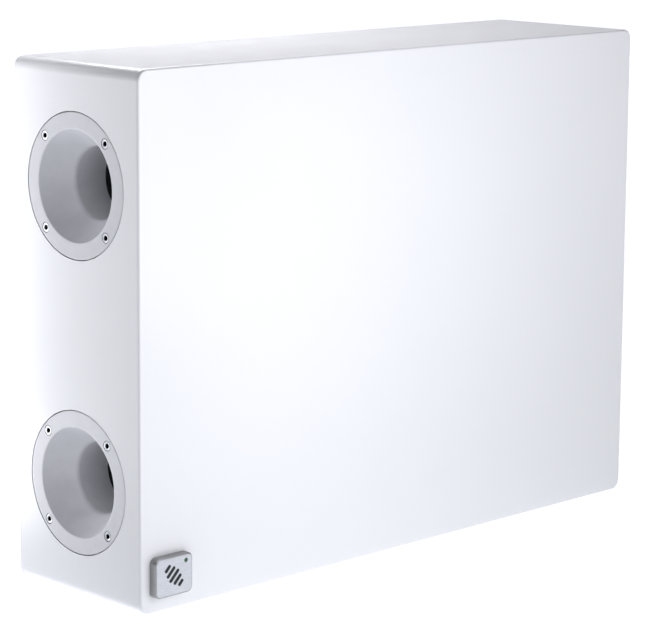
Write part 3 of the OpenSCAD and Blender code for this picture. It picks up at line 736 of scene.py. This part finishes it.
def surround_section():
    """A half roll between two flat lips; the lips' edges are rounded with listed points."""
    outer_r = ROLL_R + SURROUND_T / 2
    inner_r = ROLL_R - SURROUND_T / 2
    points = [(95.4, SURROUND_W), (93, SURROUND_W)]
    points += arc(ROLL_MID_R, SURROUND_W, inner_r, 0, 180, 18)
    points += [(76.5, SURROUND_W), (74.1, SURROUND_W)]
    points += [(74.05, 0.5), (74.3, 0.9), (76, 0.96), (77.9, 1.0)]
    points += arc(ROLL_MID_R, SURROUND_W, outer_r, 171, 9, 26)
    points += [(92.2, 1.0), (94, 0.96), (95.2, 0.85), (95.45, 0.4)]
    return points


def cone_section():
    """A cone with a slight belly and four shallow stiffening rings."""
    neck_r, neck_w = CONE_NECK
    start_r = CONE_R - 3
    front = []
    for i in range(CONE_STEPS + 1):
        t = i / CONE_STEPS
        r = start_r - (start_r - neck_r) * t
        belly = CONE_BELLY * math.sin(math.pi * t)
        ring = CONE_RING_H * sum(math.exp(-(((r - c) / CONE_RING_W) ** 2)) for c in CONE_RINGS)
        front.append((r, neck_w * t - belly + ring))
    back = [(r, w - CONE_T) for r, w in reversed(front)]
    return [(CONE_R, -CONE_T), (CONE_R, -0.1), (CONE_R - 1.2, 0)] + front + back


def spider_section():
    """A thin disc with three round waves."""
    top = [(SPIDER_INNER_R, SPIDER_W)]
    for i in range(SPIDER_WAVES * SPIDER_STEPS + 1):
        lift = SPIDER_WAVE_H * (1 - math.cos(2 * math.pi * i / SPIDER_STEPS))
        top.append((SPIDER_WAVE_START + i * SPIDER_WAVE / SPIDER_STEPS, SPIDER_W + lift))
    top += [(SPIDER_OUTER_R, SPIDER_W)]
    return [(r, w + SPIDER_T) for r, w in top] + top[::-1]


def dust_cap(piece, at):
    """A thin dome: its outside from the tip to the rim, then its inside back to the tip."""
    ball = (CAP_R**2 + CAP_H**2) / (2 * CAP_H)
    edge = math.degrees(math.asin(CAP_R / ball))
    mid = CAP_BASE + CAP_H - ball
    tip = 0.6
    section = arc(0, mid, ball, 90 - tip, 90 - edge, 28)
    section += arc(0, mid, ball - CAP_T, 90 + tip - edge, 90 - tip, 28)
    piece.lathe(at, section, SIDES, False)


def woofer(key):
    motor = f"woofer_{key}_motor"
    spot = centre(f"woofer_{key}_cone")
    at = place("rear", x=spot.x, z=spot.z)
    roll = Piece(f"surround_{key}")
    roll.lathe(at, surround_section(), LARGE_SIDES)
    rubber = [mats["surround_rubber"]]
    obj = roll.make(rubber, None, [f"woofer_{key}_surround"], ROUND_ANGLE)
    blend_round(obj)
    cone = Piece(f"cone_{key}")
    cone.lathe(at, cone_section(), LARGE_SIDES)
    paper = [mats["cone_paper"]]
    cone.make(paper, motor, [f"woofer_{key}_cone"], ROUND_ANGLE)
    cap = Piece(f"dust_cap_{key}")
    dust_cap(cap, at)
    plastic = [mats["cap_plastic"]]
    cap.make(plastic, motor, [f"woofer_{key}_dust_cap"], ROUND_ANGLE)
    spider = Piece(f"spider_{key}")
    spider.lathe(at, spider_section(), WIDE_SIDES)
    woven = [mats["spider_cloth"]]
    obj = spider.make(woven, None, [f"woofer_{key}_spider"], SOFT_ANGLE)
    blend_round(obj)


def woofer_screws():
    piece = Piece("frame_screws")
    for key in "ab":
        spot = centre(f"woofer_{key}_cone")
        at = place("rear", x=spot.x, z=spot.z)
        for k, own in enumerate(FRAME_SCREW_TURNS):
            out = spaced(k, FRAME_SCREWS, FRAME_SCREW_START, FRAME_SCREW_CIRCLE)
            socket_screw(piece, at @ out @ spin(own), FRAME_SCREW_HEAD, 0, FRAME_SCREW_SHANK, 0.4)
    surfaces = [mats["black_steel"], mats["socket_painted_shade"]]
    piece.make(surfaces, "cabinet", ["woofer_screws"])


woofer("a")
woofer("b")
woofer_screws()

# ---------------------------------------------------------------- feet

STAND_R = 18
STAND_EDGE = 0.6
STAND_GROOVE = (5.8, 6.8)
STAND_ROUND = 4
STAND_BORE_R = 2.7
STAND_SEAT = 10.1
STAND_SCREW_HEAD = (4.6, 4.5)
STAND_SCREW_SHANK = (2.4, 25)
PAD_R = 10
PAD_STUD = (2.4, 8)


def corners(low, high, r, axis):
    """The four spots r millimetres in from the corners of a box, in x and one more axis."""
    for x in (low.x + r * MM, high.x - r * MM):
        for other in (low[axis] + r * MM, high[axis] - r * MM):
            yield x, other


def standoffs():
    """Round rubber feet with a groove, a ring on the end and a counterbore for a screw."""
    low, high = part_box("standoff_feet")
    height = (high.y - REAR_Y) / MM
    stands = Piece("rubber_standoffs")
    screws = Piece("standoff_cap_screws")
    r = STAND_R
    near, far = STAND_GROOVE
    section = [(STAND_BORE_R, 0), (r - STAND_EDGE, 0), (r, STAND_EDGE), (r, near - STAND_EDGE)]
    section += [(r - 0.9, near), (r - 0.9, far), (r, far + STAND_EDGE)]
    section += arc(r - STAND_ROUND, height - STAND_ROUND, STAND_ROUND, 0, 90, 10)
    section += [(9.4, height), (9.1, height - 0.3), (7.6, height - 0.3), (7.3, height)]
    section += [(5.8, height), (5.3, height - 0.5)]
    section += [(5.2, STAND_SEAT), (STAND_BORE_R, STAND_SEAT)]
    for x, z in corners(low, high, r, 2):
        at = place("rear", x=x, z=z)
        stands.lathe(at, section)
        socket_screw(screws, at, STAND_SCREW_HEAD, STAND_SEAT, STAND_SCREW_SHANK)
    stands.make([mats["black_rubber"]], "cabinet", ["standoff_feet"])
    surfaces = [mats["zinc_steel"], mats["socket_painted_shade"]]
    screws.make(surfaces, "cabinet", ["standoff_screws"])


def floor_pads():
    """Flat pads with a stud that goes up into the cabinet."""
    low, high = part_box("bottom_pads")
    depth = (UNDER_Z - low.z) / MM
    stud_r, stud_len = PAD_STUD
    r = PAD_R
    pads = Piece("floor_pads")
    section = [(stud_r, -stud_len), (stud_r, -0.02), (r - 0.3, -0.02), (r, 0.3), (r, depth - 1)]
    section += arc(r - 1, depth - 1, 1, 0, 90, 5)[1:]
    section += [(6.2, depth), (5.9, depth - 0.35), (1, depth - 0.35)]
    for x, y in corners(low, high, r, 1):
        pads.lathe(place("under", x=x, y=y), section, SMALL_SIDES, False)
    pads.make([mats["black_rubber"]], "cabinet", ["bottom_pads"])


standoffs()
floor_pads()

# ---------------------------------------------------------------- wadding

# The lengths in this section are in metres; DIP, LUMP, THIN and THICK are shares.
WADDING_STEPS = (56, 72)
WADDING_GAP = 0.004
EDGE_DROOP = 0.004
SEAM = 0.09
STITCH_W = 0.007
DIP = 0.35
LUMP = 0.04
THIN, THICK = 0.12, 0.78


def wadding_slab(name, low, high):
    """A stitched slab of loose fibre, flat on the front panel and crowned between its seams."""
    slab = Piece(name)
    steps_u, steps_v = WADDING_STEPS
    centre_u, centre_v = (low.x + high.x) / 2, (low.z + high.z) / 2
    half_u, half_v = (high.x - low.x) / 2, (high.z - low.z) / 2
    depth = high.y - low.y

    def point(i, j, raised):
        u, v = 2 * i / steps_u - 1, 2 * j / steps_v - 1
        x = centre_u + u * (half_u - EDGE_DROOP * (1 - v * v))
        z = centre_v + v * (half_v - EDGE_DROOP * (1 - u * u))
        if not raised:
            return Vector((x, low.y, z))
        crown = math.sqrt(max(0.0, (1 - u**6) * (1 - v**6)))
        near = min(abs((x / SEAM) % 1 - 0.5), abs((z / SEAM) % 1 - 0.5)) * SEAM
        dip = DIP * math.exp(-((near / STITCH_W) ** 2))
        lump = LUMP * (math.sin(71 * x + 40 * z) + math.sin(93 * z - 38 * x + 1.3))
        return Vector((x, low.y + depth * (THIN + THICK * crown * (1 - dip + lump)), z))

    def side(raised):
        """Makes one side's faces and returns the vertices round its edge."""
        rows = []
        for i in range(steps_u + 1):
            rows.append([slab.bm.verts.new(point(i, j, raised)) for j in range(steps_v + 1)])
        for a, b in zip(rows, rows[1:]):
            for j in range(steps_v):
                slab.bm.faces.new((a[j], b[j], b[j + 1], a[j + 1]))
        edge = [row[0] for row in rows[:-1]] + rows[-1][:-1]
        return edge + [row[-1] for row in rows[:0:-1]] + rows[0][:0:-1]

    under, over = side(False), side(True)
    for k in range(len(under)):
        m = (k + 1) % len(under)
        slab.bm.faces.new((under[k], under[m], over[m], over[k]))
    bmesh.ops.recalc_face_normals(slab.bm, faces=slab.bm.faces[:])
    obj = slab.make([mats["wadding"]], "cabinet", ["damping_wadding"], SOFT_ANGLE)


def wadding():
    """One slab on each side of the brace."""
    low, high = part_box("damping_wadding")
    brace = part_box("cabinet_brace")
    port_end = brace[0].x - WADDING_GAP
    amp_start = brace[1].x + WADDING_GAP
    wadding_slab("wadding_port_side", low, Vector((port_end, high.y, high.z)))
    wadding_slab("wadding_amp_side", Vector((amp_start, low.y, low.z)), high)


wadding()

# ---------------------------------------------------------------- amplifier panel

# Heights are measured outward from the cabinet's side, so the recessed plate is below 0.
AMP_FLOOR = -13
SINK_BASE = 2.5
SINK_TOP = -2
FINS = 14
FIN_T = 1.8
FIN_TIP_R = 1.3
KNOB_SIDES = 160
KNOB_R = 9.5
KNOB_LOW = -11.2
KNOB_HIGH = -1.2
KNOB_BORE_R = 7.4
KNOB_SHAFT = (2.95, -24)
FLUTES = 20
FLUTE_DEPTH = 0.75
POINTER_V = 5.6
SLIDER_TOP = -9
JACK_PLACES = (-30, -10, 10, 30)
JACK_R = 4.15
JACK_H = 9.5
JACK_LIP_R = 3.4
JACK_PIN_HOLE_R = 1.7
JACK_ANGLE = 35
NUT_R = 6.4
NUT_H = 1.5
PRINT = (AMP_FLOOR + 0.005, AMP_FLOOR + 0.07)
TICKS = 11
TICK_START = -150
TICK_STEP = 30
TICK_R = 11.2
PANEL_SCREWS = 5
PANEL_HEAD = (3.4, 2)
PANEL_SHANK = (1.9, 12)
PANEL_SEAT = -2.1


def amp_at(u, v):
    """A place on the amplifier side, u and v from the middle of the plate."""
    mid = centre("amp_plate")
    return place("amp_side", y=mid.y + u * MM, z=mid.z + v * MM)


def amp_spot(node):
    """The place of a control, at the middle of its node."""
    mid = centre(node)
    return place("amp_side", y=mid.y, z=mid.z)


def heat_sink():
    """A base plate with upright fins, thinner and rounded towards their tips."""
    low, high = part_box("heat_sink")
    v = ((low.z + high.z) / 2 - centre("amp_plate").z) / MM
    width, height = (high.y - low.y) / MM, (high.z - low.z) / MM
    at = amp_at(0, v)
    base = AMP_FLOOR + SINK_BASE
    sink = Piece("heat_sink_casting")
    rows = [rounded(width, height, 1.2, AMP_FLOOR), rounded(width, height, 1.2, base - 0.3)]
    rows += [rounded(width - 0.6, height - 0.6, 0.9, base)]
    sink.stack(at, rows)
    for i in range(FINS):
        u = (i - (FINS - 1) / 2) * (width - FIN_T) / (FINS - 1)
        rows = [rounded(FIN_T, height, 0.3, base + w, 4, u) for w in (-0.4, 0.2)]
        rows += [rounded(FIN_TIP_R + 0.1, height, 0.3, SINK_TOP - 0.9, 4, u)]
        for a in (15, 35, 55, 75):
            t = math.radians(a)
            thin = max(0.3, FIN_TIP_R * math.cos(t))
            rise = math.sin(t)
            top = SINK_TOP - 0.7 + 0.7 * rise
            rows.append(rounded(thin, height - 1.6 * rise, 0.14, top, 4, u))
        sink.stack(at, rows)
    sink.make([mats["sink_black"]], "cabinet", ["heat_sink"], FLAT_ANGLE)


def fluted(r, w):
    """A circle with round flutes cut into it."""
    points = []
    for i in range(KNOB_SIDES):
        a = 2 * math.pi * i / KNOB_SIDES
        own_r = r - FLUTE_DEPTH * max(0.0, math.cos(FLUTES * a)) ** 3
        points.append((own_r * math.cos(a), own_r * math.sin(a), w))
    return points


def knob(body, node):
    """A fluted knob with a dished top and a white pointer let into it."""
    at = amp_spot(node)
    r, low, high = KNOB_R, KNOB_LOW, KNOB_HIGH
    shaft_r, shaft_w = KNOB_SHAFT

    def rings(*pairs):
        return [circle(ring_r, w, KNOB_SIDES) for ring_r, w in pairs]

    def bar(width, length, corner, w):
        return rounded(width, length, corner, w, 6, 0, POINTER_V)

    cap = Piece(body + "_knob")
    rows = rings((shaft_r, shaft_w), (shaft_r, low + 0.6))
    rows += rings((KNOB_BORE_R, low + 0.6), (KNOB_BORE_R, low))
    rows += rings((r - 0.2, low), (r, low + 0.2), (r, low + 1.2))
    rows += [fluted(r, low + 1.8), fluted(r, high - 1.5)]
    rows += rings((r - 0.35, high - 1.05), (r - 0.55, high - 0.5), (r - 1.0, high - 0.12))
    rows += rings((r - 1.5, high), (r - 2.0, high - 0.06), (r - 2.6, high - 0.35))
    rows += rings((4, high - 0.5), (1, high - 0.52))
    cap.stack(at, rows)
    slit = Piece("slit")
    slit.stack(at, [bar(1.2, POINTER_V, 0.5, high - 0.85), bar(1.2, POINTER_V, 0.5, high + 1)])
    cap.make([mats["knob_black"]], body, [node], SHARP_ANGLE, [slit])
    mark = Piece(body + "_pointer")
    rows = [bar(1.1, 5.5, 0.45, high - 0.84), bar(1.1, 5.5, 0.45, high - 0.35)]
    rows += [bar(0.9, 5.3, 0.4, high - 0.3)]
    mark.stack(at, rows)
    mark.make([mats["slider_white"]], body)


def slider(body, node):
    """A white tip on a wider foot that stays behind the panel."""
    top = SLIDER_TOP
    tip = Piece(body + "_tip")
    rows = [rounded(5, 3.8, 0.2, -21.5, 4), rounded(5, 3.8, 0.2, -18, 4)]
    rows += [rounded(4, 3.8, 0.2, -18, 4), rounded(4, 3.8, 0.35, top - 0.5, 4)]
    rows += [rounded(3.4, 3.2, 0.3, top, 4)]
    tip.stack(amp_spot(node), rows)
    tip.make([mats["slider_white"]], body, [node], FLAT_ANGLE)


def sockets():
    """Gold barrels on hexagon nuts, with a coloured ring inside each rim."""
    low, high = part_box("rca_jacks")
    v = ((low.z + high.z) / 2 - centre("amp_plate").z) / MM
    gold = Piece("phono_sockets")
    rings = Piece("phono_rings")
    foot, r, top = AMP_FLOOR, JACK_R, AMP_FLOOR + JACK_H
    nut = [(6.0, foot), (NUT_R, foot + 0.2), (NUT_R, foot + 1.2), (6.0, foot + NUT_H)]
    barrel = [(3.9, -17), (3.9, foot + 1.4), (r - 0.2, foot + NUT_H), (r - 0.2, foot + 2.2)]
    barrel += [(r, foot + 2.4), (r, top - 0.4), (r - 0.12, top - 0.12), (r - 0.4, top)]
    barrel += [(3.5, top), (JACK_LIP_R, top - 0.1), (JACK_LIP_R, top - 1.0), (1.75, top - 1.0)]
    barrel += [(JACK_PIN_HOLE_R, top - 1.1), (JACK_PIN_HOLE_R, -10.5)]
    ring = [(3.36, top - 0.98), (3.36, top - 0.35), (3.1, top - 0.3), (2.05, top - 0.3)]
    ring += [(1.8, top - 0.45), (1.8, top - 0.98)]
    for k, u in enumerate(JACK_PLACES):
        at = amp_at(u, v)
        gold.stack(at, [hexagon(a, w) for a, w in nut] + [circle(4.4, foot + NUT_H)])
        gold.lathe(at, barrel, SIDES, False)
        gold.stack(at, [rounded(12, 13, 0.8, -26), rounded(12, 13, 0.8, -16)])
        rings.lathe(at, ring, SIDES, True, k % 2)
    gold.make([mats["jack_gold"]], "cabinet", ["rca_jacks"], JACK_ANGLE)
    colours = [mats["slider_white"], mats["ring_red"]]
    rings.make(colours, "cabinet", (), JACK_ANGLE)


def panel_print():
    """Scale marks round the knobs, level marks by the sliders: thin white print."""
    marks = Piece("panel_scales")

    def bar(at, width, height, u, v):
        marks.stack(at, [rounded(width, height, 0.2, w, 4, u, v) for w in PRINT])

    for node in ("volume_knob", "crossover_knob"):
        for k in range(TICKS):
            length = 2.6 if k % 5 == 0 else 1.7
            at = amp_spot(node) @ spin(TICK_START + TICK_STEP * k)
            bar(at, 0.55, length, 0, TICK_R + length / 2)
    for node in ("phase_switch", "power_mode_switch"):
        for u in (0, 2.5, 5):
            bar(amp_spot(node), 0.5, 2, u, -4.2)
    v = (centre("rca_jacks").z - centre("amp_plate").z) / MM
    for u in (-20, 20):
        bar(amp_at(u, v), 28, 0.5, 0, 8.6)
        for side in (-14, 14):
            bar(amp_at(u, v), 0.5, 2.2, side, 7.7)
    marks.make([mats["print_white"]], "cabinet")


def amp_screws():
    """A row of cap screws down each long side of the amplifier plate."""
    piece = Piece("panel_screws")
    low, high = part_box("amp_screws")
    r = PANEL_HEAD[0]
    half_u = (high.y - low.y) / 2 / MM - r
    half_v = (high.z - low.z) / 2 / MM - r
    middle = (PANEL_SCREWS - 1) / 2
    for u in (-half_u, half_u):
        for k in range(PANEL_SCREWS):
            at = amp_at(u, half_v * (k - middle) / middle) @ spin(13 + 47 * k + u)
            socket_screw(piece, at, PANEL_HEAD, PANEL_SEAT, PANEL_SHANK, 0.35)
    surfaces = [mats["black_steel"], mats["socket_painted_shade"]]
    piece.make(surfaces, "cabinet", ["amp_screws"])


heat_sink()
knob("volume_control", "volume_knob")
knob("crossover_control", "crossover_knob")
slider("phase_slider", "phase_switch")
slider("power_mode_slider", "power_mode_switch")
sockets()
panel_print()
amp_screws()

# ---------------------------------------------------------------- stage

SKY_TINT = (0.97, 0.975, 1.0)
SKY_STRENGTH = 0.03
FLOOR_TINT = (0.95, 0.975, 1.04)
FLOOR_GLOW = 1.08
FLOOR_R = 40
LAMP_TINT = (0.98, 0.98, 1.03)

# Each soft box: where it is, what it faces, its width and height in metres, and its watts.
LIGHTS = {
    "front_level": ((0.0, -0.8, 0.45), (-0.05, -0.09, 0.35), 0.9, 0.3, 0.92),
    "front_mid": ((-0.1, -0.5, 0.3), (-0.1, -0.09, 0.35), 0.4, 0.3, 0.83),
    "front_high": ((-0.15, -0.6, 0.55), (-0.15, -0.09, 0.4), 0.5, 0.25, 0.45),
    "front_low": ((-0.24, -0.4, 0.06), (-0.27, -0.09, 0.1), 0.15, 0.15, 0.15),
    "side_strip": ((-0.4, 0.2, 0.24), (-0.31, -0.04, 0.24), 0.06, 0.8, 0.56),
    "side_low": ((-0.45, 0.3, 0.04), (-0.31, 0.05, 0.03), 0.08, 0.06, 0.14),
    "side_wide": ((-0.75, 0.6, 0.35), (-0.31, -0.02, 0.25), 0.3, 0.7, 0.72),
    "top_back": ((0.3, 0.4, 1.4), (-0.1, 0.0, 0.453), 0.5, 0.5, 12.9),
    "top_left": ((-0.1, 0.22, 0.75), (-0.25, 0.0, 0.453), 0.25, 0.2, 1.2),
    "top_right": ((0.3, 0.3, 0.85), (0.22, 0.02, 0.453), 0.4, 0.2, 0.4),
    "rear": ((0.1, 1.2, 0.26), (0.0, 0.09, 0.24), 0.9, 0.38, 2.1),
    "right": ((1.3, 0.15, 0.26), (0.31, 0.0, 0.24), 0.7, 0.38, 2.6),
}

# Each port has a small fill from the upper left, so that its bowl isn't lost in shade.
PORT_FILL = {"upper": 1.0, "lower": 1.2}
FILL_OFFSET = Vector((-0.45, -0.2, 0.55))
FILL_SIZE = 0.4


def soft_box(name, spot, target, width, height, power, lit):
    """A rectangular light, not seen itself, that shines on what the collection lit says."""
    data = bpy.data.lights.new(name, "AREA")
    data.shape = "RECTANGLE"
    data.size, data.size_y = width, height
    data.energy = power
    data.color = LAMP_TINT
    obj = bpy.data.objects.new(name, data)
    obj.location = spot
    aim = Vector(target) - Vector(spot)
    obj.rotation_mode = "QUATERNION"
    obj.rotation_quaternion = aim.to_track_quat("-Z", "Y")
    obj.visible_camera = False
    obj.light_linking.receiver_collection = lit
    scene.collection.objects.link(obj)


def sky():
    """Even light from all round, seen as plain white behind the object."""
    world = bpy.data.worlds.new("studio")
    world.use_nodes = True
    scene.world = world
    tree = world.node_tree
    lit = tree.nodes["Background"]
    lit.inputs["Color"].default_value = (*SKY_TINT, 1)
    lit.inputs["Strength"].default_value = SKY_STRENGTH
    seen = tree.nodes.new("ShaderNodeBackground")
    seen.inputs["Color"].default_value = (1, 1, 1, 1)
    ray = tree.nodes.new("ShaderNodeLightPath")
    mix = tree.nodes.new("ShaderNodeMixShader")
    tree.links.new(ray.outputs["Is Camera Ray"], mix.inputs["Fac"])
    tree.links.new(lit.outputs["Background"], mix.inputs[1])
    tree.links.new(seen.outputs["Background"], mix.inputs[2])
    tree.links.new(mix.outputs["Shader"], tree.nodes["World Output"].inputs["Surface"])


def floor():
    """The glowing floor. Returns a collection that keeps the soft boxes off it."""
    data = bpy.data.meshes.new("floor")
    bm = bmesh.new()
    bmesh.ops.create_circle(bm, cap_ends=True, segments=SIDES, radius=FLOOR_R)
    bm.to_mesh(data)
    bm.free()
    obj = bpy.data.objects.new("floor", data)
    scene.collection.objects.link(obj)
    p = Paint("floor_white", 0.9, Emission_Strength=FLOOR_GLOW)
    p.shader.inputs["Emission Color"].default_value = (*FLOOR_TINT, 1)
    p.colour(p.noise(2), grey(0.9), grey(0.92))
    data.materials.append(p.m)
    apart = bpy.data.collections.new("floor_only")
    apart.objects.link(obj)
    apart.collection_objects[0].light_linking.link_state = "EXCLUDE"
    return apart


floor_only = floor()
sky()
for name, settings in LIGHTS.items():
    soft_box(name, *settings, floor_only)
for name, power in PORT_FILL.items():
    only = bpy.data.collections.new("fill_" + name)
    only.objects.link(port_trims[name])
    mouth = centre("port_flare_" + name)
    soft_box("fill_" + name, mouth + FILL_OFFSET, mouth, FILL_SIZE, FILL_SIZE, power, only)
scene.view_settings.view_transform = "Standard"

# ---------------------------------------------------------------- camera

# It stands to the front and left of the object and looks down a little. Angles are in
# radians.
CAMERA_SPOT = Vector((-1.6618, -1.6748, 0.6556))
CAMERA_YAW = -0.7771
CAMERA_PITCH = -0.1761
CAMERA_ROLL = 0.0072
LENS = 146.8
SHIFT = -0.062

camera_data = bpy.data.cameras.new("camera")
camera = bpy.data.objects.new("camera", camera_data)
scene.collection.objects.link(camera)
camera_data.lens = LENS
camera_data.shift_y = SHIFT
camera_data.clip_start, camera_data.clip_end = 0.05, 200
camera.matrix_world = (
    Matrix.Translation(CAMERA_SPOT)
    @ Matrix.Rotation(CAMERA_YAW, 4, "Z")
    @ Matrix.Rotation(math.pi / 2 + CAMERA_PITCH, 4, "X")
    @ Matrix.Rotation(CAMERA_ROLL, 4, "Z")
)
scene.camera = camera
